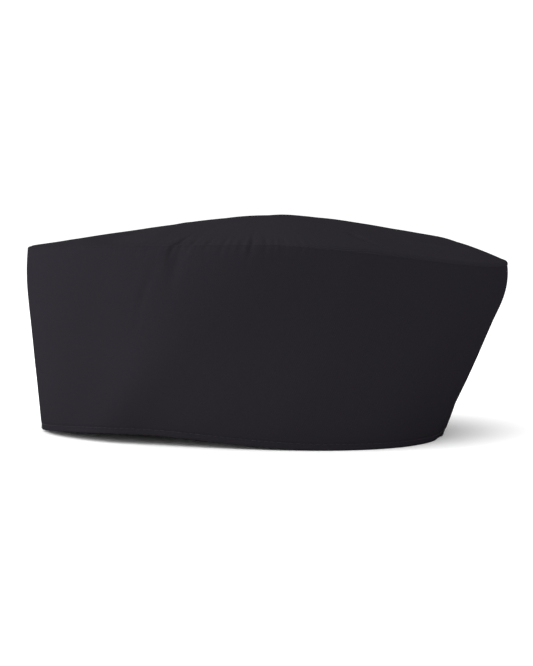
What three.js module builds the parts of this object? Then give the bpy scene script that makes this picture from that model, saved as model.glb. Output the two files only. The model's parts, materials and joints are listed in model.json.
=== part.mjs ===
// Chef's skull cap in black twill, standing on its hem.
// Millimetres, +Z up. The forehead is at -Y and the wearer's left side at +X.
// It is sewn from two pieces: a side band, and an oval crown whose edge is turned down inside the band.
import * as THREE from 'three';

// Overall form
const HEM_LENGTH = 183;       // front to back along the hem
const HEM_WIDTH = 152;
const TOP_LENGTH = 227;       // front to back at the seam, before the band curls in to it
const TOP_WIDTH = 197;
const TOP_SET_BACK = 14.2;    // middle of the top oval behind the middle of the hem oval
const SEAM_HEIGHT = 88.6;     // highest point of the seam above the table
const CROWN_RISE = 10;        // top of the crown above that point of the seam
const PEAK_FORWARD = 5;       // top of the crown in front of the middle of the top oval
const HEM_LIFT = 4.5;         // the relaxed hem bows up off the table on the left side
const CURL_FRONT = 2.2;       // how far the top of the band curls in to the seam
const CURL_SIDE = 4.5;
const CURL_BACK = 6.4;

// Cloth and sewing
const CLOTH = 1.3;            // wall of one layer
const HEM_DEPTH = 5;          // double turned hem
const HEM_THICKNESS = 2.2;
const HEM_EDGE = 0.5;         // rounding of the hem's edge
const STITCH_HEIGHT = 2.8;    // stitch line above the hem's edge
const STITCH_DENT = 0.25;
const ALLOWANCE = 8;          // cloth turned down inside the seam
const BAND_TOP_THICKNESS = 2; // band with its own edge turned down
const LIP_THICKNESS = 1.2;    // crown's edge, turned down inside the band
const SEWN_GAP = 0.3;         // between the band and the crown
const GROOVE_DROP = 0.5;      // top of the band's roll below the seam line
const RIM_THICKNESS = 1.7;    // crown's folded rim above the band
const RIM_INSET = 0.5;        // rim from the band's face at the front
const RIM_OVERHANG = 0.7;     // rim past the band's face at the back
const STEP_RUN = 1.2;         // slope where one layer becomes two

// Folds
const FOLD_HEIGHT = 2.4;      // a soft fold of rise 1
const PUCKER_DEPTH = 0.45;    // seam puckers
const PUCKER_FALL = 9;        // how far down the band they fade out
const GATHER_DEPTH = 1.1;     // gathers at the back of the hem

// Stations round the cap, evenly spaced from the front by the left side to the back and on.
// hem, top: reach from the middle of each oval, as a share of a plain ellipse.
// seam: height of the seam, as a share of SEAM_HEIGHT.
const STATIONS = [
  { hem: 1.00, top: 1.00, seam: 0.952 },   // front
  { hem: 0.95, top: 0.98, seam: 0.966 },
  { hem: 0.91, top: 0.98, seam: 0.989 },
  { hem: 0.96, top: 1.00, seam: 1.000 },   // left side
  { hem: 1.11, top: 1.00, seam: 0.967 },
  { hem: 1.13, top: 1.00, seam: 0.895 },
  { hem: 0.99, top: 1.00, seam: 0.873 },   // back
  { hem: 1.06, top: 0.99, seam: 0.895 },
  { hem: 1.05, top: 1.00, seam: 0.967 },
  { hem: 0.98, top: 1.00, seam: 1.000 },   // right side
  { hem: 0.94, top: 0.98, seam: 0.989 },
  { hem: 0.96, top: 0.97, seam: 0.966 },
];

// Soft folds of the band. Each swells and dies away between its foot and its head, bowed sideways,
// and may start or end past the cloth. Angles are degrees round from the front, heights are shares
// from hem to seam, width is a share of SEAM_HEIGHT and rise of FOLD_HEIGHT, below 0 for a dent.
const BAND_FOLDS = [
  { footAngle: 13, foot: -0.15, headAngle: 100, head: 1.60, bow: 20, width: 0.36, rise: 0.9 },
  { footAngle: 28, foot: -0.40, headAngle: 68, head: 0.60, bow: 1, width: 0.24, rise: 1.5 },
  { footAngle: 47, foot: -0.40, headAngle: 28, head: 1.40, bow: 8, width: 0.34, rise: -1.5 },
  { footAngle: 69, foot: 0.70, headAngle: 72, head: 1.30, bow: 0, width: 0.04, rise: -0.6 },
  { footAngle: 90, foot: -0.40, headAngle: 112, head: 1.40, bow: 13, width: 0.12, rise: 0.12 },
  { footAngle: 135, foot: -0.25, headAngle: 150, head: 1.20, bow: 20, width: 0.32, rise: -1.5 },
  { footAngle: 180, foot: -0.20, headAngle: 180, head: 1.00, bow: 0, width: 0.30, rise: 0.7 },
  { footAngle: 262, foot: -0.10, headAngle: 285, head: 1.30, bow: -6, width: 0.18, rise: 0.7 },
  { footAngle: 318, foot: -0.20, headAngle: 305, head: 1.10, bow: 5, width: 0.16, rise: -0.6 },
];

// Soft folds of the crown, in plan. x and y are shares of half the top's width and length
// from its middle, +y is backwards, width is a share of TOP_LENGTH and rise a share of FOLD_HEIGHT.
const CROWN_FOLDS = [
  { x1: 0.95, y1: -0.45, x2: 0.05, y2: -0.34, width: 0.030, rise: 0.4 },
  { x1: 0.85, y1: -0.60, x2: 0.00, y2: -0.55, width: 0.045, rise: -0.4 },
  { x1: 0.90, y1: 0.30, x2: 0.55, y2: 0.75, width: 0.030, rise: -0.3 },
  { x1: -0.80, y1: -0.30, x2: -0.20, y2: -0.10, width: 0.040, rise: -0.4 },
  { x1: -0.75, y1: 0.45, x2: -0.30, y2: 0.70, width: 0.040, rise: 0.35 },
];

const PUCKERS = { from: 48, to: 100, pitch: 5.2 };
const GATHERS = { from: 158, to: 206, count: 4, height: 0.8 };
const LIFTED = { from: -14, to: 125 };
const FINE_STEP = 2.6;        // degrees from one column of the walls to the next
const COARSE_STEP = 6;
const OUTER_ROWS = [0.11, 0.23, 0.35, 0.47, 0.59, 0.70, 0.80, 0.88, 0.95]; // shares from hem to allowance
const INNER_ROWS = [0.16, 0.32, 0.48, 0.65, 0.80, 0.88];
const CROWN_ROWS = [0.07, 0.15, 0.25, 0.35, 0.45, 0.54, 0.63, 0.72, 0.8, 0.87, 0.93, 0.97, 1];
const UNDER_ROWS = [0.15, 0.35, 0.55, 0.72, 0.86, 0.945]; // shares from the crown's top to its rim
const TURNS = [45, 90, 135];  // degrees round a rolled edge
const CURL_START = 0.72;      // share of the band's height where it begins to curl in
const CURL_POWER = 2.2;
const FULLNESS_FRONT = 1.0;   // crown profile: 1 is a straight ramp, more is fuller
const FULLNESS_SIDE = 1.8;
const FULLNESS_BACK = 4;
const PEAK_ROUNDING = 0.08;   // blunts the top of the ramp
const FOLD_FADE = 0.15;       // share of the crown's reach over which its folds die away at the rim

const radians = THREE.MathUtils.degToRad;
const mix = THREE.MathUtils.lerp;
const clampShare = (value) => THREE.MathUtils.clamp(value, 0, 1);
const bump = (distance) => Math.exp(-distance * distance);

// Smooth periodic curve through one column of the station table
function atStations(column, angle) {
  const count = STATIONS.length;
  let sum = 0;
  STATIONS.forEach((station, i) => {
    const half = (radians(angle) - (2 * Math.PI * i) / count) / 2;
    const onStation = Math.abs(Math.sin(half)) < 1e-9;
    const weight = onStation ? 1 : Math.sin(count * half) / (count * Math.tan(half));
    sum += station[column] * weight;
  });
  return sum;
}

// A value that goes from front by side to back
function roundTheCap(front, side, back, angle) {
  const cosine = Math.cos(radians(angle));
  return side + ((cosine > 0 ? front : back) - side) * cosine * cosine;
}

// Share of the way through a stretch of angles, or -1 outside it
function shareOfStretch(angle, from, to) {
  const past = THREE.MathUtils.euclideanModulo(angle - from, 360);
  return past < to - from ? past / (to - from) : -1;
}

function ellipseReach(angle, length, width) {
  const turn = radians(angle);
  return 1 / Math.hypot(Math.cos(turn) / (length / 2), Math.sin(turn) / (width / 2));
}

function outward(angle) {
  return new THREE.Vector3(Math.sin(radians(angle)), -Math.cos(radians(angle)), 0);
}

function hemPoint(angle) {
  const share = shareOfStretch(angle, LIFTED.from, LIFTED.to);
  const lift = share < 0 ? 0 : HEM_LIFT * Math.sin(Math.PI * share) ** 2;
  const reach = atStations('hem', angle) * ellipseReach(angle, HEM_LENGTH, HEM_WIDTH);
  return outward(angle).multiplyScalar(reach).setZ(lift);
}

function topPoint(angle) {
  const reach = atStations('top', angle) * ellipseReach(angle, TOP_LENGTH, TOP_WIDTH);
  const point = outward(angle).multiplyScalar(reach).setZ(SEAM_HEIGHT * atStations('seam', angle));
  point.y += TOP_SET_BACK;
  return point;
}

// Face of the band without its folds, up from 0 at the hem to 1 at the seam
function smoothFace(angle, up) {
  const curl = clampShare((up - CURL_START) / (1 - CURL_START)) ** CURL_POWER;
  const inset = roundTheCap(CURL_FRONT, CURL_SIDE, CURL_BACK, angle) * curl;
  return hemPoint(angle).lerp(topPoint(angle), up).addScaledVector(outward(angle), -inset);
}

function faceNormal(angle, up) {
  const nudge = 0.5;
  const along = smoothFace(angle + nudge, up).sub(smoothFace(angle - nudge, up));
  return new THREE.Vector3(along.y, -along.x, 0).normalize();
}

function foldRelief(angle, up) {
  let relief = 0;
  for (const fold of BAND_FOLDS) {
    const along = clampShare((up - fold.foot) / (fold.head - fold.foot));
    const swell = Math.sin(Math.PI * along);
    const middle = mix(fold.footAngle, fold.headAngle, along) + fold.bow * swell;
    const turn = THREE.MathUtils.euclideanModulo(angle - middle + 180, 360) - 180;
    const sideways = radians(turn) * (TOP_WIDTH / 2);
    relief += fold.rise * FOLD_HEIGHT * swell ** 2 * bump(sideways / (fold.width * SEAM_HEIGHT));
  }
  return relief;
}

function puckerRelief(angle, up) {
  const share = shareOfStretch(angle, PUCKERS.from, PUCKERS.to);
  if (share < 0) return 0;
  const wave = Math.cos((2 * Math.PI * (angle - PUCKERS.from)) / PUCKERS.pitch);
  const down = (SEAM_HEIGHT * (1 - up)) / PUCKER_FALL;
  return PUCKER_DEPTH * wave * Math.sin(Math.PI * share) * bump(down);
}

function gatherRelief(angle, up) {
  const share = shareOfStretch(angle, GATHERS.from, GATHERS.to);
  if (share < 0) return 0;
  const wave = Math.cos(2 * Math.PI * GATHERS.count * share);
  const fade = clampShare(1 - up / GATHERS.height) ** 2;
  return GATHER_DEPTH * wave * Math.sin(Math.PI * share) * fade;
}

// A point of the band's wall, inset inwards from its folded face
function wallPoint(angle, up, inset) {
  const relief = foldRelief(angle, up) + puckerRelief(angle, up) + gatherRelief(angle, up);
  return smoothFace(angle, up).addScaledVector(faceNormal(angle, up), relief - inset);
}

// A point above the seam line, for the rolls and the rim
function abovePoint(angle, inset, height) {
  const point = wallPoint(angle, 1, inset);
  point.z += height;
  return point;
}

// Angles of the wall's columns, closer where the cloth is puckered or gathered
function columnAngles() {
  const angles = [];
  for (let angle = 0; angle < 360;) {
    angles.push(angle);
    const fine = [PUCKERS, GATHERS].some((stretch) => angle >= stretch.from && angle < stretch.to);
    angle += fine ? FINE_STEP : COARSE_STEP;
  }
  return angles;
}

const ANGLES = columnAngles();
const ring = (pointAt) => ANGLES.map(pointAt);
const upFromHem = (height) => height / SEAM_HEIGHT;
const belowSeam = (depth) => 1 - depth / SEAM_HEIGHT;

// Heights that the band's inner face and the crown's lip share, from the foot of the lip up
const ROLL_RADIUS = BAND_TOP_THICKNESS / 2;
const ROLL_BASE = belowSeam(ROLL_RADIUS + GROOVE_DROP);
const LIP_FOOT = belowSeam(ALLOWANCE);
const SEWN_UPS = [LIP_FOOT, mix(LIP_FOOT, ROLL_BASE, 0.5), ROLL_BASE];

// Closed skin over rings. With poles the ends close to a point, without them the last ring joins the first.
function skin(rings, poles) {
  const columns = ANGLES.length;
  const positions = rings.flat().flatMap((point) => point.toArray());
  const faces = [];
  const at = (row, column) => (row % rings.length) * columns + (column % columns);
  const rows = poles ? rings.length - 1 : rings.length;
  for (let row = 0; row < rows; row++) {
    for (let column = 0; column < columns; column++) {
      faces.push(at(row, column), at(row, column + 1), at(row + 1, column + 1));
      faces.push(at(row, column), at(row + 1, column + 1), at(row + 1, column));
    }
  }
  if (poles) {
    const first = positions.length / 3;
    const last = first + 1;
    positions.push(...poles[0].toArray(), ...poles[1].toArray());
    for (let column = 0; column < columns; column++) {
      faces.push(first, at(0, column + 1), at(0, column));
      faces.push(last, at(rings.length - 1, column), at(rings.length - 1, column + 1));
    }
  }
  const geometry = new THREE.BufferGeometry();
  geometry.setAttribute('position', new THREE.Float32BufferAttribute(positions, 3));
  geometry.setIndex(faces);
  geometry.computeVertexNormals();
  return geometry;
}

function sideBand() {
  const lowest = upFromHem(HEM_DEPTH + STEP_RUN);
  const between = (share) => mix(lowest, LIP_FOOT, share);
  const outside = [
    [upFromHem(HEM_EDGE), 0],
    [upFromHem(STITCH_HEIGHT), STITCH_DENT],
    [upFromHem(HEM_DEPTH), 0],
    [lowest, 0],
    ...OUTER_ROWS.map((share) => [between(share), 0]),
    ...SEWN_UPS.map((up) => [up, 0]),
  ];
  const inside = [
    ...SEWN_UPS.toReversed().map((up) => [up, BAND_TOP_THICKNESS]),
    [LIP_FOOT - upFromHem(STEP_RUN), CLOTH],
    ...INNER_ROWS.toReversed().map((share) => [between(share), CLOTH]),
    [lowest, CLOTH],
    [upFromHem(HEM_DEPTH), HEM_THICKNESS],
    [upFromHem(HEM_EDGE), HEM_THICKNESS],
    [0, HEM_THICKNESS - HEM_EDGE],
    [0, HEM_EDGE],
  ];
  const roll = TURNS.map((turn) => ring((angle) => abovePoint(
    angle,
    ROLL_RADIUS * (1 - Math.cos(radians(turn))),
    ROLL_RADIUS * (Math.sin(radians(turn)) - 1) - GROOVE_DROP,
  )));
  const wall = (rows) => rows.map(([up, inset]) => ring((angle) => wallPoint(angle, up, inset)));
  return skin([...wall(outside), ...roll, ...wall(inside)]);
}

function crownFoldRelief(point) {
  let relief = 0;
  for (const fold of CROWN_FOLDS) {
    const start = new THREE.Vector3(fold.x1 * TOP_WIDTH / 2, fold.y1 * TOP_LENGTH / 2 + TOP_SET_BACK, 0);
    const end = new THREE.Vector3(fold.x2 * TOP_WIDTH / 2, fold.y2 * TOP_LENGTH / 2 + TOP_SET_BACK, 0);
    const here = new THREE.Vector3(point.x, point.y, 0);
    const nearest = new THREE.Line3(start, end).closestPointToPoint(here, true, new THREE.Vector3());
    relief += fold.rise * FOLD_HEIGHT * bump(here.distanceTo(nearest) / (fold.width * TOP_LENGTH));
  }
  return relief;
}

const RIM_RADIUS = RIM_THICKNESS / 2;
const RIM_TOP = SEWN_GAP - GROOVE_DROP + RIM_THICKNESS;

function rimInset(angle) {
  return mix(RIM_INSET, -RIM_OVERHANG, (1 - Math.cos(radians(angle))) / 2);
}

// Upper face of the crown, out from 0 at its top to 1 at the rim
function crownPoint(angle, out) {
  const rim = abovePoint(angle, rimInset(angle) + RIM_RADIUS, RIM_TOP);
  const peak = new THREE.Vector3(0, TOP_SET_BACK - PEAK_FORWARD, SEAM_HEIGHT);
  const blunted = Math.hypot(out, PEAK_ROUNDING) - PEAK_ROUNDING;
  const fall = blunted / (Math.hypot(1, PEAK_ROUNDING) - PEAK_ROUNDING);
  const fullness = roundTheCap(FULLNESS_FRONT, FULLNESS_SIDE, FULLNESS_BACK, angle);
  const point = peak.lerp(rim, out);
  point.z += CROWN_RISE * (1 - fall ** fullness);
  point.z += crownFoldRelief(point) * clampShare((1 - out) / FOLD_FADE);
  return point;
}

function crown() {
  const lipOutside = BAND_TOP_THICKNESS + SEWN_GAP;
  const lipInside = lipOutside + LIP_THICKNESS;
  const lipUps = [...SEWN_UPS, belowSeam(GROOVE_DROP)];
  const underside = (out) => ring((angle) => {
    const point = crownPoint(angle, out);
    point.z -= CLOTH;
    return point;
  });
  const lip = (up, inset) => ring((angle) => wallPoint(angle, up, inset));
  const rim = (turn) => ring((angle) => abovePoint(
    angle,
    rimInset(angle) + RIM_RADIUS * (1 - Math.sin(radians(turn))),
    RIM_TOP - RIM_RADIUS * (1 + Math.cos(radians(turn))),
  ));
  const rings = [
    ...UNDER_ROWS.map(underside),
    ...lipUps.toReversed().map((up) => lip(up, lipInside)),
    ...lipUps.map((up) => lip(up, lipOutside)),
    ring((angle) => abovePoint(angle, lipOutside, SEWN_GAP - GROOVE_DROP)),
    ...[0, ...TURNS].map(rim),
    ...CROWN_ROWS.toReversed().map((out) => ring((angle) => crownPoint(angle, out))),
  ];
  const top = crownPoint(0, 0);
  return skin(rings, [top.clone().setZ(top.z - CLOTH), top]);
}

function cloth(colour) {
  return new THREE.MeshStandardMaterial({ color: colour, roughness: 0.85, metalness: 0 });
}

function piece(name, geometry, colour) {
  const mesh = new THREE.Mesh(geometry, cloth(colour));
  mesh.name = name;
  return mesh;
}

const cap = new THREE.Group();
cap.add(piece('side_band', sideBand(), '#28262b'));
cap.add(piece('crown', crown(), '#2b292e'));

// The origin is under the middle of the cap, on the table
const box = new THREE.Box3().setFromObject(cap);
const middle = box.getCenter(new THREE.Vector3());
cap.position.set(-middle.x, -middle.y, -box.min.z);

export default cap;
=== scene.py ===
# %% [markdown]
# A chef's skull cap in black twill.
# The real cap is sewn from two cuts of cloth: a straight strip that goes round the head, and an oval
# that closes the top. The construction already has both as plain walls at their real size. This
# script dresses them: it models each cut again as fine cloth on the same form, and gives it its seam,
# its hem, its stitches, its folds and its weave.

# %% Load the fixed frame
import json
from math import radians

import bpy
import numpy as np
from mathutils import Matrix, Vector, noise


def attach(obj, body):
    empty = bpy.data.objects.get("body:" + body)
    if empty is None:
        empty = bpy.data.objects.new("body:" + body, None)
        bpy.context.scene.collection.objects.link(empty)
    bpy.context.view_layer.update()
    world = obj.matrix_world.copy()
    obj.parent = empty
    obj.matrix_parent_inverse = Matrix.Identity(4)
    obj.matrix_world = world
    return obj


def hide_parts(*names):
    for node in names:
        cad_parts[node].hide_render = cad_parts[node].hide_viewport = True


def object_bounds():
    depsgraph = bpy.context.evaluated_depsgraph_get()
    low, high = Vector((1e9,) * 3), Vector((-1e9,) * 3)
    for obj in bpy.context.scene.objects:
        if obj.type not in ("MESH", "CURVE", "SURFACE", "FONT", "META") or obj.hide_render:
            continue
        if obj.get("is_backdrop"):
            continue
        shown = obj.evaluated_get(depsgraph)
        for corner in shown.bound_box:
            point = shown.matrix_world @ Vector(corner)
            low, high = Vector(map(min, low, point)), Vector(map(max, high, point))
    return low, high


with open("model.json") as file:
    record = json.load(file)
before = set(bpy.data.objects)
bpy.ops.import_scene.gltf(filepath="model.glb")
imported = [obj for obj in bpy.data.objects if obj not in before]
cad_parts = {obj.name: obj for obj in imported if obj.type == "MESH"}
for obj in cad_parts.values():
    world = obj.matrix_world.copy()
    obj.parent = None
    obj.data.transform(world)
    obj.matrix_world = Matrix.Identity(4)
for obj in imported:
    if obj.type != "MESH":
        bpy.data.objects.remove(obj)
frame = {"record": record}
cad_box = np.array(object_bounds())
MM = 0.001
scene = bpy.context.scene

# %% [markdown]
# The camera comes first. The photograph looks at
# the cap's left side, a few degrees above the table, with the forehead at the left of the picture.
# A camera could be placed by eye, but here its distance and focal length were worked out from the
# outline: at this distance the near edge of the hem swings below the far one by the right amount.

# %% Camera at the photograph's viewing angle
VIEW_AZIMUTH = radians(94.7)      # round from the forehead towards the wearer's left side
VIEW_ELEVATION = radians(4.2)
VIEW_DISTANCE = 1179 * MM
LOOK_AT = Vector((0, 0, 44.9 * MM))
FOCAL_PIXELS = 2581               # focal length in pixels of the photograph
PHOTO_HEIGHT = 666                # pixels
SENSOR_MM = 36


def direction(azimuth, elevation):
    """Unit vector towards that side of the cap, from the forehead round to the left."""
    level = np.cos(elevation)
    return Vector((np.sin(azimuth) * level, -np.cos(azimuth) * level, np.sin(elevation)))


def aim_from(thing, azimuth, elevation, distance):
    """Puts a camera or a lamp on that side of the cap, turned to its middle."""
    back = direction(azimuth, elevation)
    thing.location = LOOK_AT + back * distance
    thing.rotation_euler = (-back).to_track_quat("-Z", "Y").to_euler()
    scene.collection.objects.link(thing)


camera = bpy.data.objects.new("camera", bpy.data.cameras.new("camera"))
aim_from(camera, VIEW_AZIMUTH, VIEW_ELEVATION, VIEW_DISTANCE)
camera.data.sensor_width = SENSOR_MM
camera.data.lens = FOCAL_PIXELS / PHOTO_HEIGHT * SENSOR_MM
scene.camera = camera
print("camera lens in mm:", round(camera.data.lens, 1))

# %% [markdown]
# The cap stands on its hem on a plain pale surface under a white sky, as in a product picture. A big
# soft lamp low in front of the forehead brightens the left of the picture, a weaker one beside the
# camera fades towards the right, and a soft one overhead lifts the crown above the band. Black cloth
# shows its form only by such a difference in light.

# %% Floor, sky and lamps
FLOOR_SIZE = 30
FLOOR_COLOUR = (0.97, 0.97, 0.97)
FLOOR_ROUGHNESS = 0.9
SKY = 1.08                        # just enough for the floor to come out white
KEY_AZIMUTH, KEY_ELEVATION = radians(8), radians(20)
FILL_AZIMUTH, FILL_ELEVATION = radians(60), radians(20)
TOP_AZIMUTH, TOP_ELEVATION = radians(160), radians(80)
# metres away, metres across, watts
KEY_DISTANCE, KEY_SIZE, KEY_POWER = 1.6, 1.4, 28.5
FILL_DISTANCE, FILL_SIZE, FILL_POWER = 1.6, 1.4, 10
TOP_DISTANCE, TOP_SIZE, TOP_POWER = 1.6, 1.2, 8


def principled(name):
    """A new material, its node tree and its shader."""
    material = bpy.data.materials.new(name)
    material.use_nodes = True
    return material, material.node_tree, material.node_tree.nodes["Principled BSDF"]


def soft_lamp(name, azimuth, elevation, distance, size, power):
    """A round area lamp, as large and soft as a photographer's."""
    lamp = bpy.data.lights.new(name, "AREA")
    lamp.shape = "DISK"
    lamp.size = size
    lamp.energy = power
    aim_from(bpy.data.objects.new(name, lamp), azimuth, elevation, distance)


half = FLOOR_SIZE / 2
floor_mesh = bpy.data.meshes.new("floor")
floor_corners = [(-half, -half, 0), (half, -half, 0), (half, half, 0), (-half, half, 0)]
floor_mesh.from_pydata(floor_corners, [], [(0, 1, 2, 3)])
floor = bpy.data.objects.new("floor", floor_mesh)
floor_material, _, floor_shader = principled("pale_floor")
floor_shader.inputs["Base Color"].default_value = (*FLOOR_COLOUR, 1)
floor_shader.inputs["Roughness"].default_value = FLOOR_ROUGHNESS
floor_shader.inputs["Specular IOR Level"].default_value = 0
floor_mesh.materials.append(floor_material)
scene.collection.objects.link(floor)
floor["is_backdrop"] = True

world = bpy.data.worlds.new("white_sky")
world.use_nodes = True
world.node_tree.nodes["Background"].inputs["Color"].default_value = (1, 1, 1, 1)
world.node_tree.nodes["Background"].inputs["Strength"].default_value = SKY
scene.world = world
scene.view_settings.view_transform = "Standard"

soft_lamp("key_lamp", KEY_AZIMUTH, KEY_ELEVATION, KEY_DISTANCE, KEY_SIZE, KEY_POWER)
soft_lamp("fill_lamp", FILL_AZIMUTH, FILL_ELEVATION, FILL_DISTANCE, FILL_SIZE, FILL_POWER)
soft_lamp("top_lamp", TOP_AZIMUTH, TOP_ELEVATION, TOP_DISTANCE, TOP_SIZE, TOP_POWER)

# %% [markdown]
# The form of the cap is one set of formulas. A head-shaped oval at the hem and a wider one at the
# seam give the strip its two edges; twelve stations round the cap say how far each oval strays from a
# plain ellipse, because cloth never is one. The strip leans outwards between them and curls in to
# the seam at its top. A sculpted mesh could do the same, but with formulas the hem, the seam, the
# stitches and the weave all know where they are on the cloth. From here on, lengths are millimetres
# and angles are degrees round from the forehead by the wearer's left side.

# %% Sizes and stations of the form
HEM_LENGTH, HEM_WIDTH = 183, 152  # front to back, side to side
TOP_LENGTH, TOP_WIDTH = 227, 197
TOP_SET_BACK = 14.2               # middle of the top oval behind that of the hem
SEAM_HEIGHT = 88.6
HEM_LIFT = 4.5                    # how far the hem bows up off the table at most
LIFTED = (-14, 125)               # angles between which it does
CURL = (2.2, 4.5, 6.4)            # front, side, back: how far the band curls in to the seam
CURL_START, CURL_POWER = 0.72, 2.2
# shares at the twelve stations, of a plain ellipse and of SEAM_HEIGHT
HEM_SHARES = (1.00, 0.95, 0.91, 0.96, 1.11, 1.13, 0.99, 1.06, 1.05, 0.98, 0.94, 0.96)
TOP_SHARES = (1.00, 0.98, 0.98, 1.00, 1.00, 1.00, 1.00, 0.99, 1.00, 1.00, 0.98, 0.97)
SEAM_SHARES = (0.952, 0.966, 0.989, 1.000, 0.967, 0.895, 0.873, 0.895, 0.967, 1.000, 0.989, 0.966)
lowest = round(SEAM_HEIGHT * min(SEAM_SHARES), 1)
print("stations:", len(HEM_SHARES), "seam from", lowest, "to", SEAM_HEIGHT, "mm high")

# %% Curves round the cap
ROUNDING_ERROR = 1e-9


def at_stations(shares, angle):
    """Smooth curve round the cap through evenly spaced values."""
    count = len(shares)
    total = np.zeros_like(angle)
    for i, share in enumerate(shares):
        turn = np.radians(angle - 360 * i / count) / 2
        on_station = np.abs(np.sin(turn)) < ROUNDING_ERROR
        safe = np.where(on_station, 1, turn)
        weight = np.sin(count * safe) / (count * np.tan(safe))
        total += share * np.where(on_station, 1, weight)
    return total


def round_the_cap(values, angle):
    """Goes from the front's value by the side's to the back's."""
    front, side, back = values
    cosine = np.cos(np.radians(angle))
    return side + (np.where(cosine > 0, front, back) - side) * cosine**2


def stretch(angle, start, end):
    """0 outside a stretch of angles and at its ends, 1 in its middle."""
    share = np.mod(angle - start, 360) / (end - start)
    return np.where(share < 1, np.sin(np.pi * np.minimum(share, 1)), 0)


def outward(angle):
    """Level direction away from the middle."""
    turn = np.radians(angle)
    return np.stack([np.sin(turn), -np.cos(turn)], axis=-1)


print("curl at front, side and back:", round_the_cap(CURL, np.array([0, 90, 180])), "mm")

# %% The smooth face of the band
NEARBY = 0.5                      # degrees to either side, to find which way the face runs


def oval(shares, length, width, angle):
    """Points of an ellipse whose reach is changed by the shares at its stations."""
    turn = np.radians(angle)
    reach = at_stations(shares, angle) / np.hypot(np.cos(turn) / (length / 2), np.sin(turn) / (width / 2))
    return outward(angle) * reach[..., None]


def smooth_face(angle, up):
    """Face of the band without its folds; up goes from 0 at the hem to 1 at the seam."""
    hem = oval(HEM_SHARES, HEM_LENGTH, HEM_WIDTH, angle)
    top = oval(TOP_SHARES, TOP_LENGTH, TOP_WIDTH, angle) + (0, TOP_SET_BACK)
    curl = np.clip((up - CURL_START) / (1 - CURL_START), 0, None) ** CURL_POWER
    plan = hem + (top - hem) * up[..., None]
    plan -= outward(angle) * (round_the_cap(CURL, angle) * curl)[..., None]
    lift = HEM_LIFT * stretch(angle, *LIFTED) ** 2
    height = lift * (1 - up) + SEAM_HEIGHT * at_stations(SEAM_SHARES, angle) * up
    return np.concatenate([plan, height[..., None]], axis=-1)


def face_normal(angle, up):
    """Level direction straight out of the band."""
    along = smooth_face(angle + NEARBY, up) - smooth_face(angle - NEARBY, up)
    out = np.stack([along[..., 1], -along[..., 0], np.zeros_like(up)], axis=-1)
    return out / np.linalg.norm(out, axis=-1, keepdims=True)


def run_length(points):
    """Distance along a row of points, from 0 at the first."""
    steps = np.linalg.norm(np.diff(points, axis=0), axis=-1)
    return np.concatenate([np.zeros_like(steps[:1]), np.cumsum(steps, axis=0)])


once_round = np.linspace(0, 360, 721)
for place, up in (("seam", 1.0), ("hem", 0.0)):
    line = smooth_face(once_round, np.full_like(once_round, up))
    print("round the", place, round(float(run_length(line)[-1])), "mm")

# %% [markdown]
# Cloth that is sewn to a curve is never smooth. The photograph shows four things on this side: a
# broad soft fold that runs from the seam down towards the forehead and splits the band into two
# flatter planes, a fainter one behind it, a stretch of short puckers where the oval was eased into
# the strip, and a smooth seam at the back. Wrinkles could come from a cloth simulation, but these are
# known by place, so each is a row of a table, and only the small ones between them are drawn by a
# seeded random loop.

# %% Folds of the band
FOLD_HEIGHT = 2.4                 # how high a fold with a rise of 1 stands out
# foot angle, foot height, head angle, head height, bow, width as a share of SEAM_HEIGHT, rise
BAND_FOLDS = (
    (13, -0.15, 100, 1.60, 20, 0.36, 0.9),
    (28, -0.40, 68, 0.60, 1, 0.24, 1.5),
    (47, -0.40, 28, 1.40, 8, 0.34, -1.5),
    (69, 0.70, 72, 1.30, 0, 0.04, -0.6),
    (90, -0.40, 112, 1.40, 13, 0.12, 0.12),
    (135, -0.25, 150, 1.20, 20, 0.32, -1.5),
    (180, -0.20, 180, 1.00, 0, 0.30, 0.7),
    (56, 0.50, 66, 1.00, 0, 0.03, -0.18),
    (262, -0.10, 285, 1.30, -6, 0.18, 0.7),
    (318, -0.20, 305, 1.10, 5, 0.16, -0.6),
)


def sideways(angle, middle):
    """Distance along the seam from an angle, taken the short way round."""
    return np.radians(np.mod(angle - middle + 180, 360) - 180) * (TOP_WIDTH / 2)


def fold_relief(angle, up):
    """How far the folds lift the face; each one swells and fades along its own line."""
    total = np.zeros_like(up)
    for foot_angle, foot, head_angle, head, bow, width, rise in BAND_FOLDS:
        along = np.clip((up - foot) / (head - foot), 0, 1)
        swell = np.sin(np.pi * along)
        middle = foot_angle + (head_angle - foot_angle) * along + bow * swell
        distance = sideways(angle, middle) / (width * SEAM_HEIGHT)
        total += rise * FOLD_HEIGHT * swell**2 * np.exp(-(distance**2))
    return total


deepest = max(abs(rise) for *_, rise in BAND_FOLDS)
print("folds:", len(BAND_FOLDS), "the deepest", round(FOLD_HEIGHT * deepest, 1), "mm")

# %% Puckers along the seam
# angle, depth, half width, length down the band, slant; a depth below 0 is a ridge
MAIN_PUCKERS = (
    (58.0, 0.25, 1.1, 4, 0.0),
    (61.0, 0.20, 1.0, 4, 0.1),
    (64.3, 0.25, 1.0, 4, 0.1),
    (68.2, 0.95, 1.4, 5, 0.1),
    (71.5, -0.20, 1.4, 5, 0.5),
    (73.0, 0.45, 1.0, 4, 0.1),
    (77.8, 0.30, 1.1, 4, 0.0),
    (82.0, 0.32, 1.1, 4, 0.0),
    (87.0, 0.35, 1.1, 4, 0.0),
    (89.4, 0.75, 1.1, 5, 0.0),
    (93.0, 0.30, 1.1, 4, 0.0),
    (98.0, 0.28, 1.2, 4, -0.1),
    (102.0, 0.20, 1.2, 4, -0.1),
)
EASED = (50, 108)                 # where the seam is puckered all along
PUCKER_PITCH = 3.9
PUCKER_STRAY = 0.3                # how far one may be out of place, as a share of the step
EASED_DEPTHS, OTHER_DEPTHS = (0.06, 0.22), (0.01, 0.05)
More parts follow.
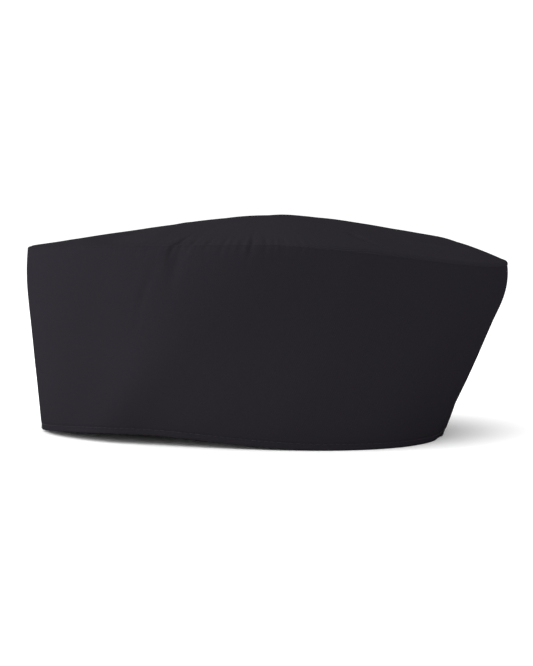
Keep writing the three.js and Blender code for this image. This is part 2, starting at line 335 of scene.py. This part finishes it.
HALF_WIDTHS, LENGTHS, SLANTS = (0.7, 1.1), (2.5, 4.5), (-0.2, 0.2)
SEED = 11
random = np.random.default_rng(SEED)


def small_puckers():
    """Rows like those of MAIN_PUCKERS, all round the seam, deeper where the cloth was eased in."""
    rows = []
    step = np.degrees(PUCKER_PITCH / (TOP_WIDTH / 2))
    for angle in np.arange(0, 360, step):
        depths = EASED_DEPTHS if EASED[0] < angle < EASED[1] else OTHER_DEPTHS
        place = angle + random.uniform(-PUCKER_STRAY, PUCKER_STRAY) * step
        half_width, length = random.uniform(*HALF_WIDTHS), random.uniform(*LENGTHS)
        rows.append((place, random.uniform(*depths), half_width, length, random.uniform(*SLANTS)))
    return rows


ALL_PUCKERS = np.array([*MAIN_PUCKERS, *small_puckers()])


def pucker_relief(angle, from_seam):
    """Dents across the seam, at a distance from it on either side."""
    total = np.zeros(np.broadcast(angle, from_seam).shape)
    for middle, depth, half_width, length, slant in ALL_PUCKERS:
        distance = (sideways(angle, middle) + slant * from_seam) / half_width
        total -= depth * np.exp(-(distance**2) - (from_seam / length) ** 2)
    return total


print("puckers:", len(ALL_PUCKERS), "placed by hand:", len(MAIN_PUCKERS))

# %% [markdown]
# At the back of the head the hem is drawn in, which is why the cap leans forward there. The picture
# doesn't show how, so it is the plain way: a gathered hem, with soft flutes that fade out half way up,
# and a straight join of the strip's two ends in the middle of the back. All over, a slow random
# swelling keeps the cloth from looking like sheet metal.

# %% Gathers and join at the back, and the unevenness of plain cloth
GATHERED = (158, 206)             # angles between which the hem is drawn in
# their tops here and below are shares of SEAM_HEIGHT
GATHER_COUNT, GATHER_DEPTH, GATHER_TOP = 4, 1.1, 0.8
FLUTE_PITCH, FLUTE_DEPTH, FLUTE_TOP = 7.5, 0.45, 0.2
FLUTE_WANDER, WANDER_RATE = 1.5, 1.7   # keeps the flutes from being evenly spaced
JOIN_ANGLE = 180
JOIN_DEPTH, JOIN_WIDTH = 0.55, 0.9
UNEVEN = ((26, 0.35), (9, 0.06))  # size of the swelling, and how far it strays from the form
STEADY = 1 / 6                    # share of the height over which it grows from nothing at the hem


def gather_relief(angle, up):
    """Broad waves of the drawn-in hem, and small flutes close to its edge."""
    share = np.mod(angle - GATHERED[0], 360) / (GATHERED[1] - GATHERED[0])
    fade = np.clip(1 - up / GATHER_TOP, 0, 1) ** 2
    broad = GATHER_DEPTH * np.cos(2 * np.pi * GATHER_COUNT * share) * fade
    phase = sideways(angle, JOIN_ANGLE) / FLUTE_PITCH
    wander = FLUTE_WANDER * np.sin(WANDER_RATE * phase)
    flutes = np.cos(2 * np.pi * phase + wander) * np.exp(-((up / FLUTE_TOP) ** 2))
    return (broad + FLUTE_DEPTH * flutes) * stretch(angle, *GATHERED)


def join_relief(angle):
    """The shallow line where the strip's two ends meet."""
    return -JOIN_DEPTH * np.exp(-((sideways(angle, JOIN_ANGLE) / JOIN_WIDTH) ** 2))


def uneven(points):
    """Slow random swelling from a fixed noise field."""
    total = np.zeros(len(points))
    for size, depth in UNEVEN:
        total += depth * np.array([noise.noise(Vector(point)) for point in points / size])
    return total


def relief(angle, up, base):
    """How far the band's face stands out from its smooth form."""
    from_seam = SEAM_HEIGHT * (1 - up)
    total = fold_relief(angle, up) + pucker_relief(angle, from_seam)
    total += gather_relief(angle, up) + join_relief(angle)
    return total + uneven(base) * np.clip(up / STEADY, 0, 1)


print("gathers", GATHER_COUNT, "over", GATHERED[1] - GATHERED[0], "degrees")

# %% [markdown]
# Cloth in Blender can be a single sheet with a Solidify modifier. That makes one even thickness, and
# this band isn't even: it is turned twice at the hem and once at the seam. So its whole section is
# laid out in rows, up the outside, over the rolled top and down the inside, and each row is swept
# round the cap. Columns stand closer where puckers and gathers need them. Each point also gets its
# true place on the flat cloth, in metres, so that the weave has its real size everywhere.

# %% Columns round the cap
COLUMNS = 640                     # a multiple of 8, so that the crown can halve them three times
DENSE = ((46, 112, 2.6), (150, 214, 1.2))   # start, end, how many more in the middle
FINE_ANGLES = 3601                # to measure with, before the columns are placed


def column_angles():
    """Angles from the join at the back all the way round to it again."""
    fine = np.linspace(JOIN_ANGLE, JOIN_ANGLE + 360, FINE_ANGLES)
    weight = 1 + sum(more * np.sqrt(stretch(fine, start, end)) for start, end, more in DENSE)
    total = np.concatenate([[0], np.cumsum((weight[1:] + weight[:-1]) / 2)])
    return np.interp(np.linspace(0, total[-1], COLUMNS + 1), total, fine)[:-1]


ROUND = column_angles()
gaps_mm = np.radians(np.diff(ROUND)) * TOP_WIDTH / 2
print("columns:", len(ROUND), "from", gaps_mm.min().round(2), "to", gaps_mm.max().round(2), "mm apart")

# %% A skin over rows of points
def faces_between(near, far, near_count, far_count):
    """Faces from one row of points to the next, which may have half or twice as many."""
    if near_count == far_count:
        k = np.arange(near_count)
        after = (k + 1) % near_count
        return np.stack([near + k, near + after, far + after, far + k], axis=1).tolist()
    fine, coarse = (near, far) if near_count > far_count else (far, near)
    p = np.arange(min(near_count, far_count))
    q = (p + 1) % len(p)
    a, b, c = fine + 2 * p, fine + 2 * p + 1, fine + 2 * q
    fans = np.concatenate([
        np.stack([a, b, coarse + p], axis=1),
        np.stack([b, coarse + q, coarse + p], axis=1),
        np.stack([b, c, coarse + q], axis=1),
    ])
    return (fans if near_count > far_count else fans[:, ::-1]).tolist()


def skin(name, rows, flat, length=None):
    """Mesh over rows of points, with each point's place on the flat cloth. For a strip, with its
    length, the last row joins the first. Any other skin ends in two middle points."""
    counts = [len(row) for row in rows]
    starts = [0, *np.cumsum(counts).tolist()]
    points = np.concatenate(rows)
    flat = np.concatenate(flat)
    faces = []
    for i in range(len(rows) if length else len(rows) - 1):
        j = (i + 1) % len(rows)
        faces += faces_between(starts[i], starts[j], counts[i], counts[j])
    if not length:
        points = np.concatenate([points, [rows[0].mean(axis=0)], [rows[-1].mean(axis=0)]])
        flat = np.concatenate([flat, np.zeros((2, 2))])
        first, last = starts[-1], starts[-1] + 1
        faces += [(first, (k + 1) % counts[0], k) for k in range(counts[0])]
        edge, count = starts[-2], counts[-1]
        faces += [(last, edge + k, edge + (k + 1) % count) for k in range(count)]
    mesh = bpy.data.meshes.new(name)
    mesh.from_pydata((points * MM).tolist(), [], faces)
    mesh.shade_smooth()
    lay_flat(mesh, flat, length)
    piece = bpy.data.objects.new(name, mesh)
    scene.collection.objects.link(piece)
    return piece


def lay_flat(mesh, flat, length):
    """Writes each point's place on the flat cloth as UVs, in metres. On a strip, the faces that lie
    across the join have their far side a whole length on."""
    corners = np.empty(len(mesh.loops), dtype=np.int32)
    mesh.loops.foreach_get("vertex_index", corners)
    starts = np.empty(len(mesh.polygons), dtype=np.int32)
    mesh.polygons.foreach_get("loop_start", starts)
    u, v = flat[corners].T
    if length:
        sizes = np.diff(np.append(starts, len(corners)))
        farthest = np.repeat(np.maximum.reduceat(u, starts), sizes)
        u = np.where(farthest - u > length / 2, u + length, u)
    layer = mesh.uv_layers.new(name="flat_cloth")
    layer.data.foreach_set("uv", (np.stack([u, v], axis=1) * MM).ravel())


print("faces between two whole rows:", len(faces_between(0, COLUMNS, COLUMNS, COLUMNS)))

# %% [markdown]
# The band is the strip itself. Its hem is turned up twice and sewn 2.8 mm from the edge, so the
# bottom is thicker and a shallow channel runs along the stitch line. At the top the cloth rolls over
# into the seam and comes down again inside as the seam allowance. Where the oval was eased in, the
# pull of the seam also turns the last few millimetres of the band in. All of that could be separate
# modifiers on a plain strip. A function that gives one row at any height keeps it in one place.

# %% A row of the band at any height
CLOTH = 0.6                       # thickness of one layer
HEM_DEPTH, HEM_THICKNESS, HEM_EDGE = 5, 1.8, 0.5   # height, thickness, radius of the lower edge
STITCH_HEIGHT, STITCH_DENT, STITCH_CHANNEL = 2.8, 0.28, 0.7   # height, depth, half width
ALLOWANCE = 8                     # cloth turned down inside the seam
ROLL_RADIUS = 0.6
GROOVE_DROP = 0.05                # top of the roll below the seam line
SOFT_EDGE = (35, 115)             # angles between which the eased top turns in before the seam
TURN_IN, TURN_HEIGHT = 0.8, 4.5


def wall(height, inset, angle=ROUND):
    """Row of points at a height above the hem's edge and a depth under the band's face."""
    up = np.full_like(angle, height / SEAM_HEIGHT)
    base = smooth_face(angle, up)
    channel = STITCH_DENT * np.exp(-(((height - STITCH_HEIGHT) / STITCH_CHANNEL) ** 2))
    near_seam = np.clip(1 - (SEAM_HEIGHT - height) / TURN_HEIGHT, 0, 1)
    turned_in = TURN_IN * stretch(angle, *SOFT_EDGE) * near_seam**2
    out = relief(angle, up, base) - channel - turned_in - inset
    return base + face_normal(angle, up) * out[:, None]


def above(inset, height):
    """Row of points beside and above the seam line."""
    points = wall(SEAM_HEIGHT, inset)
    points[:, 2] += height
    return points


seam_row = above(0, 0)
print("seam line from", seam_row[:, 2].min().round(1), "to", seam_row[:, 2].max().round(1), "mm high")

# %% The side band
ROLL_BASE = SEAM_HEIGHT - ROLL_RADIUS - GROOVE_DROP
ALLOWANCE_FOOT = SEAM_HEIGHT - ALLOWANCE
STEP_UP = 0.8                     # height over which the wall goes to another thickness
EDGE_TURNS, ROLL_TURNS = np.radians((0, 30, 60, 90)), np.radians(np.arange(20, 180, 20))
# heights of the rows: close over the hem's stitches, wide over the middle, close under the seam
STITCHED_ROWS = np.arange(1, 6.5, 0.45)
MIDDLE_ROWS = np.linspace(8, 68, 28)
SEAM_ROWS = np.linspace(69.5, ROLL_BASE, 24)
ALLOWANCE_ROWS = np.linspace(ROLL_BASE, ALLOWANCE_FOOT, 7)
INSIDE_ROWS = np.linspace(ALLOWANCE_FOOT - STEP_UP, HEM_DEPTH + STEP_UP, 26)
TURN_UP_ROWS = (HEM_DEPTH, 4, 3.2, 2.4, 1.4)


def side_band():
    """The strip's whole section, from its lower edge up the outside and down the inside."""
    edge = [(HEM_EDGE * (1 - np.cos(turn)), HEM_EDGE * (1 - np.sin(turn))) for turn in EDGE_TURNS]
    rows = [wall(height, inset) for height, inset in edge]
    rows += [wall(height, 0) for height in (*STITCHED_ROWS, *MIDDLE_ROWS, *SEAM_ROWS)]
    for turn in ROLL_TURNS:
        top_of_roll = ROLL_RADIUS * (np.sin(turn) - 1) - GROOVE_DROP
        rows.append(above(ROLL_RADIUS * (1 - np.cos(turn)), top_of_roll))
    rows += [wall(height, 2 * ROLL_RADIUS) for height in ALLOWANCE_ROWS]
    rows += [wall(height, CLOTH) for height in INSIDE_ROWS]
    rows += [wall(height, HEM_THICKNESS) for height in TURN_UP_ROWS]
    rows += [wall(height, HEM_THICKNESS - inset) for height, inset in reversed(edge)]
    middle = wall(SEAM_HEIGHT / 2, 0)
    *across, length = run_length(np.concatenate([middle, middle[:1]]))
    flat = [np.stack([across, climb], axis=1) for climb in run_length(np.array(rows))]
    return skin("cap_band", rows, flat, length)


band = side_band()
print("cap_band faces:", len(band.data.polygons))

# %% [markdown]
# The crown is the oval on top. Round its edge the cloth rolls over the seam before it goes down
# inside. In front it is pulled tight, and the thin roll sinks behind the band's edge, so that hardly
# any seam shows. At the back it is slack, and rolls over the band as a thick soft lip. Its turn from
# light to dark is the line seen in the right half of the picture. A tube along the seam could give
# such a lip, but it would look like piping, so it is part of the crown's own skin.

# %% Rim of the crown
SLACK = (88, 110)                 # angles between which the rim goes from tight to slack
RIM_RADIUS = (0.65, 1.5)          # here and below: where it is tight, where it is slack
RIM_INSET = (1.1, -0.3)           # rim from the band's face
RIM_TOP = (0.35, 1.2)             # top of the rim above the seam line
LIP_TOP = (-1.3, -2.0)            # top of the turned-down edge above the seam line


def tight_to_slack(values):
    """Goes from the front's value to the back's where the crown goes slack."""
    tight, slack = values
    from_front = np.abs(np.mod(ROUND + 180, 360) - 180)
    share = np.clip((from_front - SLACK[0]) / (SLACK[1] - SLACK[0]), 0, 1)
    return tight + (slack - tight) * share**2 * (3 - 2 * share)


rim_radius, rim_inset = tight_to_slack(RIM_RADIUS), tight_to_slack(RIM_INSET)
rim_top, lip_top = tight_to_slack(RIM_TOP), tight_to_slack(LIP_TOP)
RIM_LINE = above(rim_inset + rim_radius, rim_top)
rim_dents = pucker_relief(ROUND, np.zeros_like(ROUND)) + join_relief(ROUND)
RIM_PUCKER = face_normal(ROUND, np.ones_like(ROUND)) * rim_dents[:, None]
print("rim from", RIM_LINE[:, 2].min().round(1), "to", RIM_LINE[:, 2].max().round(1), "mm high")

# %% [markdown]
# Inside its rim the crown has two characters. In front it is stretched into a flat ramp, and at the
# back it puffs up. One profile, with a fullness that changes round the cap, gives both. The peak lies
# a little in front of the middle. The creases at the right of the picture are again rows of a table,
# because they are seen one by one.

# %% Profile and creases of the crown
CROWN_RISE = 10                   # peak above the seam
PEAK_FORWARD = 5                  # peak in front of the middle of the top oval
PEAK = np.array([0, TOP_SET_BACK - PEAK_FORWARD, SEAM_HEIGHT])
PEAK_ROUNDING = 0.16              # as a share of the way out
FULLNESS = (1.0, 1.8, 3.7)        # front, side, back: 1 is a straight ramp, more is fuller
# x and y of both ends as shares of half the top's width and length, width as a share of its length
CROWN_FOLDS = (
    (0.95, -0.45, 0.05, -0.34, 0.025, 0.2),
    (0.85, -0.60, 0.00, -0.55, 0.040, -0.5),
    (0.90, 0.30, 0.55, 0.75, 0.030, -0.3),
    (-0.80, -0.30, -0.20, -0.10, 0.040, -0.4),
    (-0.75, 0.45, -0.30, 0.70, 0.040, 0.35),
    (0.60, 0.35, 0.63, 0.37, 0.008, -0.45),
    (0.67, 0.40, 0.73, 0.47, 0.007, -0.35),
    (0.80, 0.47, 0.70, 0.59, 0.007, -0.35),
    (0.66, 0.60, 0.62, 0.69, 0.012, 0.35),
    (0.30, 0.62, 0.22, 0.74, 0.020, -0.50),
)
FOLD_FADE = 0.15                  # share of the way out over which folds end at the rim
CROWN_PUCKER, CROWN_PUCKER_LENGTH = 1.0, 2.5   # depth and length of its puckers beside the band's
PUCKER_START = 2                  # distance from the rim over which they begin
PUCKER_REACH = 12                 # how fast the rim's own dents die away towards the middle
HALVED_INSIDE = (0.5, 0.25, 0.12)   # inside each of these shares, rows have half as many points


def crown_fold_relief(plan):
    """How far the creases lift the crown; each is a soft ridge or dent along a straight line."""
    total = np.zeros(len(plan))
    size = np.array([TOP_WIDTH / 2, TOP_LENGTH / 2])
    for x1, y1, x2, y2, width, rise in CROWN_FOLDS:
        start = np.array([x1, y1]) * size + (0, TOP_SET_BACK)
        run = np.array([x2 - x1, y2 - y1]) * size
        share = np.clip((plan - start) @ run / (run @ run), 0, 1)
        distance = np.linalg.norm(plan - start - share[:, None] * run, axis=1) / (width * TOP_LENGTH)
        total += rise * FOLD_HEIGHT * np.exp(-(distance**2))
    return total


def crown_row(out, under):
    """Row of the crown's face, from 0 at its top to 1 at the rim, some way under it."""
    every = 2 ** sum(out <= share for share in HALVED_INSIDE)
    rim, pucker, angle = RIM_LINE[::every], RIM_PUCKER[::every], ROUND[::every]
    points = PEAK + (rim - pucker - PEAK) * out + pucker * out**PUCKER_REACH
    drop, whole_drop = (np.hypot(way, PEAK_ROUNDING) - PEAK_ROUNDING for way in (out, 1))
    fall = drop / whole_drop
    from_rim = (1 - out) * np.linalg.norm(rim[:, :2] - PEAK[:2], axis=1)
    swelling = crown_fold_relief(points[:, :2]) + uneven(points * (1, 1, 0))
    points[:, 2] += CROWN_RISE * (1 - fall ** round_the_cap(FULLNESS, angle)) - under
    points[:, 2] += swelling * min((1 - out) / FOLD_FADE, 1)
    puckers = pucker_relief(angle, from_rim / CROWN_PUCKER_LENGTH)
    points[:, 2] += CROWN_PUCKER * puckers * np.clip(from_rim / PUCKER_START, 0, 1)
    return points


print("crown creases:", len(CROWN_FOLDS), "points in the innermost row:", len(crown_row(0.1, 0)))

# %% The crown
SEWN_GAP = 0.1                    # between the band's turned-down edge and the crown's
LIP_OUTSIDE = 2 * ROLL_RADIUS + SEWN_GAP
CLOSING = 0.03                    # last row before the point in the middle
# rows as shares of the way out: under the crown, close beside the rim, wide over the rest
UNDER_ROWS = np.linspace(CLOSING, 0.955, 24)
BESIDE_RIM_ROWS = np.linspace(1, 0.835, 24)
FIELD_ROWS = np.linspace(0.82, CLOSING, 44)
LIP_ROWS = np.linspace(ALLOWANCE_FOOT, SEAM_HEIGHT - 2, 6)
RIM_TURNS = np.radians(np.arange(0, 180, 20))


def crown():
    """The oval's skin: its underside, its turned-down edge, its rim and its face."""
    rows = [crown_row(out, CLOTH) for out in UNDER_ROWS]
    rows += [wall(height, LIP_OUTSIDE + CLOTH) for height in LIP_ROWS[::-1]]
    rows += [wall(height, LIP_OUTSIDE) for height in LIP_ROWS]
    rows.append(above(LIP_OUTSIDE, lip_top))
    for turn in RIM_TURNS:
        inset = rim_inset + rim_radius * (1 - np.sin(turn))
        rows.append(above(inset, rim_top - rim_radius * (1 + np.cos(turn))))
    rows += [crown_row(out, 0) for out in (*BESIDE_RIM_ROWS, *FIELD_ROWS)]
    spokes = np.array([row[:: len(row) // min(map(len, rows))] for row in rows])
    climb = run_length(spokes).mean(axis=1)
    reach = np.minimum(climb, climb[-1] - climb)
    flat = [outward(ROUND[:: COLUMNS // len(row)]) * far for row, far in zip(rows, reach)]
    return skin("cap_crown", rows, flat)


top = crown()
print("cap_crown faces:", len(top.data.polygons))

# %% [markdown]
# The hem is held by a row of stitches. Each is a short length of thread that comes up through the
# cloth, lies along it and goes down again. At this distance a bump texture would do, but the part is
# reused in close views, so they are real: one template of a stitch, copied along the hem, outside and
# inside, into one joined mesh. No two are quite alike.

# %% Hem stitches
STITCH_PITCH = 2.8
STITCH_LENGTH = 2.3
THREAD_RADIUS = 0.17
THREAD_SIDES, THREAD_ROWS = 6, 7
THREAD_SIT = (0.10, -0.16)        # middle and ends of a stitch, above the cloth's face
DIVE = 4                          # how suddenly its ends go down: 1 is evenly, more is later
STITCH_STRAY, STITCH_STRETCH, STITCH_SWAY = 0.04, (0.93, 1.05), 0.05
HEM_ANGLES = 2881                 # to measure the hem with


def stitch_row(inset, face):
    """Points of every stitch in a row: stitches, rows along each, sides, 3."""
    fine = np.linspace(0, 360, HEM_ANGLES)
    line = wall(STITCH_HEIGHT, inset, fine)
    far = run_length(line)
    count = int(far[-1] / STITCH_PITCH)
    strays = random.uniform(-STITCH_STRAY, STITCH_STRAY, count)
    places = (np.arange(count) + strays) / count * far[-1]
    lengths = STITCH_LENGTH * random.uniform(*STITCH_STRETCH, count)
    along = places[:, None] + lengths[:, None] * np.linspace(-0.5, 0.5, THREAD_ROWS)
    angle = np.interp(np.mod(along, far[-1]), far, fine)
    centre = wall(STITCH_HEIGHT, inset, angle.ravel()).reshape(*angle.shape, 3)
    normal = face * face_normal(angle, np.zeros_like(angle))
    middle, ends = THREAD_SIT
    sit = middle + (ends - middle) * np.linspace(-1, 1, THREAD_ROWS) ** DIVE
    centre = centre + normal * sit[:, None]
    centre[..., 2] += random.uniform(-STITCH_SWAY, STITCH_SWAY, count)[:, None]
    turn = np.radians(np.arange(THREAD_SIDES) * 360 / THREAD_SIDES)[:, None]
    sides = normal[:, :, None] * np.cos(turn) + np.array([0, 0, 1]) * np.sin(turn)
    return centre[:, :, None] + sides * THREAD_RADIUS


def thread_faces(count):
    """Quads along each stitch and a flat end on both its ends."""
    k = np.arange(THREAD_SIDES)
    after = (k + 1) % THREAD_SIDES
    one = []
    for row in range(THREAD_ROWS - 1):
        near, far = row * THREAD_SIDES, (row + 1) * THREAD_SIDES
        one += np.stack([near + k, near + after, far + after, far + k], axis=1).tolist()
    one += [k[::-1].tolist(), (k + (THREAD_ROWS - 1) * THREAD_SIDES).tolist()]
    step = THREAD_ROWS * THREAD_SIDES
    return [[corner + i * step for corner in face] for i in range(count) for face in one]


threads = np.concatenate([stitch_row(0, 1), stitch_row(HEM_THICKNESS, -1)])
stitch_mesh = bpy.data.meshes.new("hem_stitches")
stitch_mesh.from_pydata((threads.reshape(-1, 3) * MM).tolist(), [], thread_faces(len(threads)))
stitch_mesh.shade_smooth()
stitches = bpy.data.objects.new("hem_stitches", stitch_mesh)
scene.collection.objects.link(stitches)
print("stitches:", len(threads), "faces:", len(stitch_mesh.polygons))

# %% [markdown]
# The form is built round the middle of the hem, while the frame's origin is under the middle of the
# cap. All the pieces are moved together, by their meshes, until their box has the middle and the foot
# of the construction's box.

# %% Move the cloth into the frame
points = np.array([vertex.co for piece in (band, top) for vertex in piece.data.vertices])
low, high = points.min(axis=0), points.max(axis=0)
shift = (cad_box.sum(axis=0) - low - high) / 2
shift[2] = cad_box[0, 2] - low[2]
for piece in (band, top, stitches):
    piece.data.transform(Matrix.Translation(Vector(shift)))
larger = high - low - np.ptp(cad_box, axis=0)
print("moved by mm:", np.round(shift / MM, 2), "larger by mm:", np.round(larger / MM, 2))

# %% [markdown]
# The weave is twill: each warp thread floats over two weft threads and dives under the third, one
# step later than its neighbour, which makes the slanted lines. A picture of cloth could be tiled over
# the cap, but it would blur close up. Here a node group works the pattern out from the flat cloth's
# own coordinates, thread by thread, at its real pitch. It puts out the height of the surface and a
# mask of where there is thread, and leaves the colours to the material.

# %% Small helpers for node trees
VECTOR, FLOAT = "NodeSocketVector", "NodeSocketFloat"


def node_group(name, inputs, outputs):
    """An empty group with its input and output nodes; inputs are (label, type)."""
    group = bpy.data.node_groups.new(name, "ShaderNodeTree")
    for label, kind in inputs:
        group.interface.new_socket(label, in_out="INPUT", socket_type=kind)
    for label in outputs:
        group.interface.new_socket(label, in_out="OUTPUT", socket_type=FLOAT)
    return group, group.nodes.new("NodeGroupInput").outputs, group.nodes.new("NodeGroupOutput").inputs


def feed(tree, value, socket):
    """Gives a socket a number or another node's output."""
    if isinstance(value, bpy.types.NodeSocket):
        tree.links.new(value, socket)
    else:
        socket.default_value = value


def compute(tree, operation, *values):
    """What a math node makes of the values."""
    node = tree.nodes.new("ShaderNodeMath")
    node.operation = operation
    for value, socket in zip(values, node.inputs):
        feed(tree, value, socket)
    return node.outputs[0]


def cloud(tree, position, scale, detail):
    """A noise texture's value, scale in swellings to the metre."""
    node = tree.nodes.new("ShaderNodeTexNoise")
    for value, label in ((position, "Vector"), (scale, "Scale"), (detail, "Detail")):
        feed(tree, value, node.inputs[label])
    return node.outputs["Fac"]


print("sockets of a group are made of", VECTOR, "and", FLOAT)

# %% Weave, as a node group
WARP_PITCH, WEFT_PITCH = 0.26 * MM, 0.44 * MM
WANDER_SCALE, WANDER_DETAIL = 220, 2
THREAD_WANDER = 0.5               # threads stray from straight by up to half a pitch
CYCLE = 3.0                       # threads in one repeat of the twill
FLOAT_ARC = 1.5 * np.pi           # its sine is above 0 over two threads of the three
WEFT_LEVEL = 0.45                 # top of the weft beside that of the warp
THREAD_EDGE = 0.6                 # how soon the mask is full on the side of a thread


def round_profile(tree, share):
    """Half a circle over a share from 0 to 1, as the top of a thread is."""
    centred = compute(tree, "MULTIPLY_ADD", share, 2.0, -1.0)
    below = compute(tree, "SUBTRACT", 1.0, compute(tree, "MULTIPLY", centred, centred))
    return compute(tree, "SQRT", compute(tree, "MAXIMUM", below, 0.0))


def build_weave():
    """Group that turns a place on the flat cloth into the twill's height and threads."""
    group, given, result = node_group(
        "twill_weave",
        [("Flat Cloth", VECTOR), ("Warp Pitch", FLOAT), ("Weft Pitch", FLOAT)],
        ["Height", "Thread"],
    )
    split = group.nodes.new("ShaderNodeSeparateXYZ")
    group.links.new(given["Flat Cloth"], split.inputs[0])
    stray = cloud(group, given["Flat Cloth"], WANDER_SCALE, WANDER_DETAIL)
    wander = compute(group, "MULTIPLY", stray, THREAD_WANDER)
    warp = compute(group, "DIVIDE", split.outputs["X"], given["Warp Pitch"])
    weft = compute(group, "DIVIDE", split.outputs["Y"], given["Weft Pitch"])
    warp, weft = compute(group, "ADD", warp, wander), compute(group, "ADD", weft, wander)
    step = compute(group, "ADD", weft, compute(group, "FLOOR", warp))
    cycle = compute(group, "FRACT", compute(group, "DIVIDE", step, CYCLE))
    float_shape = compute(group, "SINE", compute(group, "MULTIPLY", cycle, FLOAT_ARC))
    over = compute(group, "MAXIMUM", float_shape, 0.0)
    warp_top = compute(group, "MULTIPLY", round_profile(group, compute(group, "FRACT", warp)), over)
    weft_round = round_profile(group, compute(group, "FRACT", weft))
    weft_top = compute(group, "MULTIPLY", weft_round, WEFT_LEVEL)
    height = compute(group, "MAXIMUM", warp_top, weft_top)
    group.links.new(height, result["Height"])
    # the thread mask follows the height, so the material's painted shade is deepest where the weave dips
    group.links.new(compute(group, "POWER", height, THREAD_EDGE), result["Thread"])
    return group


WEAVE = build_weave()
print("weave group nodes:", len(WEAVE.nodes))

# %% [markdown]
# Plain cloth is never one flat tone. Handling leaves faint clouds in it, and the surface has a slight
# crinkle a few millimetres across, finer than the mesh. Both come from one group that is shared by
# the band and the crown. It reads the object's own coordinates, so it has no seams.

# %% Clouds and crinkle, as a node group
WEAR_DETAIL = 3


def build_wear():
    """Group that gives two sizes of soft noise at a place."""
    group, given, result = node_group(
        "cloth_wear",
        [("Position", VECTOR), ("Cloud Scale", FLOAT), ("Crinkle Scale", FLOAT)],
        ["Cloud", "Crinkle"],
    )
    for label in ("Cloud", "Crinkle"):
        value = cloud(group, given["Position"], given[label + " Scale"], WEAR_DETAIL)
        group.links.new(value, result[label])
    return group


WEAR = build_wear()
print("wear group nodes:", len(WEAR.nodes))

# %% [markdown]
# Black twill reflects about two parts in a hundred, nearly all of it as plain diffuse light, because
# its fibres point every way. A highlight such as plastic has would mirror the white sky along every
# edge and turn it grey, so there is none, only a trace of sheen for the fuzz on the surface. The
# colour goes between the thread's own and a darker gap, which is painted shade standing in for the
# shadow between the threads, and the bump follows the weave, so that the cloth holds up when seen
# close.

# %% Materials
# painted shade: the colour between the threads is darkened in place of the shadow that falls there
GAP_PAINTED_SHADE = 0.4                   # colour between the threads, as a share of the thread's
CLOUD_SCALE, CRINKLE_SCALE = 14, 260   # swellings to the metre
CLOUD_DEPTH = 0.16
WEAVE_DEPTH, CRINKLE_DEPTH = 0.05 * MM, 0.05 * MM
CLOTH_ROUGHNESS = 0.85
SHEEN, SHEEN_ROUGHNESS = 0.001, 0.5
THREAD_ROUGHNESS, THREAD_HIGHLIGHT = 0.6, 0.02


def use_group(tree, group, **values):
    """Places a group in a material, with values for some of its inputs."""
    node = tree.nodes.new("ShaderNodeGroup")
    node.node_tree = group
    for label, value in values.items():
        node.inputs[label.replace("_", " ")].default_value = value
    return node


def twill(name, colour):
    """Matt cloth whose colour and bump follow the weave, the clouds and the crinkle."""
    material, tree, shader = principled(name)
    place = tree.nodes.new("ShaderNodeTexCoord")
    weave = use_group(tree, WEAVE, Warp_Pitch=WARP_PITCH, Weft_Pitch=WEFT_PITCH)
    wear = use_group(tree, WEAR, Cloud_Scale=CLOUD_SCALE, Crinkle_Scale=CRINKLE_SCALE)
    tree.links.new(place.outputs["UV"], weave.inputs["Flat Cloth"])
    tree.links.new(place.outputs["Object"], wear.inputs["Position"])
    cloudy = compute(tree, "MULTIPLY_ADD", wear.outputs["Cloud"], CLOUD_DEPTH * 2, 1 - CLOUD_DEPTH)
    shade = tree.nodes.new("ShaderNodeMix")
    shade.data_type = "RGBA"
    shade.clamp_factor = False
    # painted shade: the gap colour is the thread's colour darkened, in place of the shadow between
    # threads
    shade.inputs["A"].default_value = (*(GAP_PAINTED_SHADE * part for part in colour), 1)
    shade.inputs["B"].default_value = (*colour, 1)
    tree.links.new(compute(tree, "MULTIPLY", weave.outputs["Thread"], cloudy), shade.inputs["Factor"])
    tree.links.new(shade.outputs["Result"], shader.inputs["Base Color"])
    crinkle = compute(tree, "MULTIPLY", wear.outputs["Crinkle"], CRINKLE_DEPTH)
    bump = tree.nodes.new("ShaderNodeBump")
    bump.inputs["Distance"].default_value = 1
    height = compute(tree, "MULTIPLY_ADD", weave.outputs["Height"], WEAVE_DEPTH, crinkle)
    tree.links.new(height, bump.inputs["Height"])
    tree.links.new(bump.outputs["Normal"], shader.inputs["Normal"])
    shader.inputs["Roughness"].default_value = CLOTH_ROUGHNESS
    shader.inputs["Specular IOR Level"].default_value = 0
    shader.inputs["Sheen Weight"].default_value = SHEEN
    shader.inputs["Sheen Roughness"].default_value = SHEEN_ROUGHNESS
    return material


def thread(name, colour):
    """Plain sewing thread, a little smoother than the cloth."""
    material, _, shader = principled(name)
    shader.inputs["Base Color"].default_value = (*colour, 1)
    shader.inputs["Roughness"].default_value = THREAD_ROUGHNESS
    shader.inputs["Specular IOR Level"].default_value = THREAD_HIGHLIGHT
    return material


colours = {entry["slot"]: entry["base_color"] for entry in frame["record"]["materials"]}
band.data.materials.append(twill("band_twill", colours["band_twill"]))
top.data.materials.append(twill("crown_twill", colours["crown_twill"]))
stitches.data.materials.append(thread("black_thread", colours["crown_twill"]))
print("materials:", [piece.data.materials[0].name for piece in (band, top, stitches)])

# %% [markdown]
# Last, every piece is tied to the cap's one body. The two cuts of cloth stand for the
# plain walls of the construction. Their flat sizes are what would be cut: a strip as long as the seam
# with its hem turn-up and seam allowance, and an oval with its allowance.

# %% Ride and replace
for piece, slot in ((band, "band_twill"), (top, "crown_twill"), (stitches, "band_twill")):
    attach(piece, "root")
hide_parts("side_band")
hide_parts("crown")
print("sheets:", band.name, "with", stitches.name, "and", top.name)

# %% Measure the finished cap
box = np.array(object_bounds())
dressed_mm, frame_mm = (np.round(np.ptp(corners, axis=0) / MM, 1) for corners in (box, cad_box))
print("dressed size in mm:", dressed_mm, "frame:", frame_mm)
